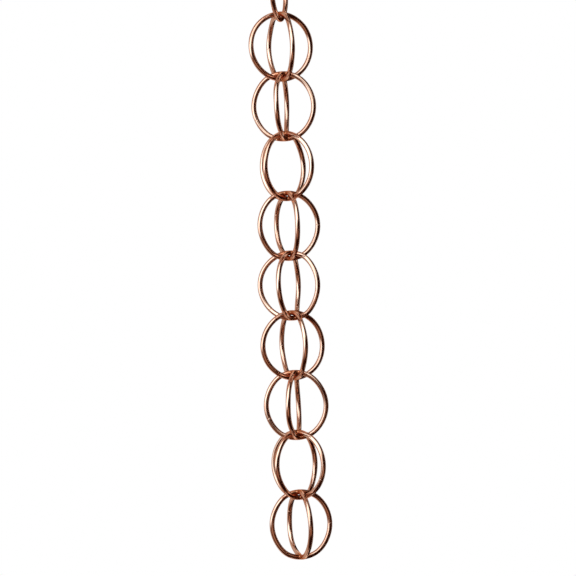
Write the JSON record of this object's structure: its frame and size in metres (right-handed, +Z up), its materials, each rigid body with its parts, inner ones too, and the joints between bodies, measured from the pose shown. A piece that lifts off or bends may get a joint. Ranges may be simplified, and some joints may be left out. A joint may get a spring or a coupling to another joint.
{
  "type": "rain chain",
  "caption": "Hanging rain chain of round copper wire: double links of two crossed rings, each hung in the one above, below a single top ring for a hook.",
  "frame": {"origin": "where a hook bears, at the top of the inside of the top ring", "axes": "+Z up, with the chain hanging down along -Z; +X to the right in the picture and +Y away from the viewer"},
  "size_m": [0.063, 0.063, 0.5495],
  "materials": {
    "copper": "polished copper wire, lightly aged"
  },
  "bodies": {
    "top": {"top_ring": "copper"},
    "link_1": {"link_1_main_ring": "copper", "link_1_cross_ring": "copper"},
    "link_2": {"link_2_main_ring": "copper", "link_2_cross_ring": "copper"},
    "link_3": {"link_3_main_ring": "copper", "link_3_cross_ring": "copper"},
    "link_4": {"link_4_main_ring": "copper", "link_4_cross_ring": "copper"},
    "link_5": {"link_5_main_ring": "copper", "link_5_cross_ring": "copper"},
    "link_6": {"link_6_main_ring": "copper", "link_6_cross_ring": "copper"},
    "link_7": {"link_7_main_ring": "copper", "link_7_cross_ring": "copper"},
    "link_8": {"link_8_main_ring": "copper", "link_8_cross_ring": "copper"},
    "link_9": {"link_9_main_ring": "copper", "link_9_cross_ring": "copper"}
  },
  "joints": [
    {"name": "link_1_swing", "type": "hinge", "parent": "top", "child": "link_1", "pos_m": [0, 0, -0.05675], "axis": [0.2079, 0.9781, 0], "range_deg": [-45, 45]},
    {"name": "link_2_swing", "type": "hinge", "parent": "link_1", "child": "link_2", "pos_m": [0, 0, -0.10825], "axis": [0.5807, 0.8141, 0], "range_deg": [-8, 8]},
    {"name": "link_3_swing", "type": "hinge", "parent": "link_2", "child": "link_3", "pos_m": [0, 0, -0.16225], "axis": [-0.3665, 0.9304, 0], "range_deg": [-8, 8]},
    {"name": "link_4_swing", "type": "hinge", "parent": "link_3", "child": "link_4", "pos_m": [0, 0, -0.21625], "axis": [0.9799, -0.1994, 0], "range_deg": [-8, 8]},
    {"name": "link_5_swing", "type": "hinge", "parent": "link_4", "child": "link_5", "pos_m": [0, 0, -0.27025], "axis": [-0.6884, 0.7254, 0], "range_deg": [-8, 8]},
    {"name": "link_6_swing", "type": "hinge", "parent": "link_5", "child": "link_6", "pos_m": [0, 0, -0.32425], "axis": [0.9986, 0.0523, 0], "range_deg": [-8, 8]},
    {"name": "link_7_swing", "type": "hinge", "parent": "link_6", "child": "link_7", "pos_m": [0, 0, -0.37825], "axis": [0.5807, 0.8141, 0], "range_deg": [-8, 8]},
    {"name": "link_8_swing", "type": "hinge", "parent": "link_7", "child": "link_8", "pos_m": [0, 0, -0.43225], "axis": [-0.3665, 0.9304, 0], "range_deg": [-8, 8]},
    {"name": "link_9_swing", "type": "hinge", "parent": "link_8", "child": "link_9", "pos_m": [0, 0, -0.48625], "axis": [0.9799, -0.1994, 0], "range_deg": [-8, 8]}
  ]
}
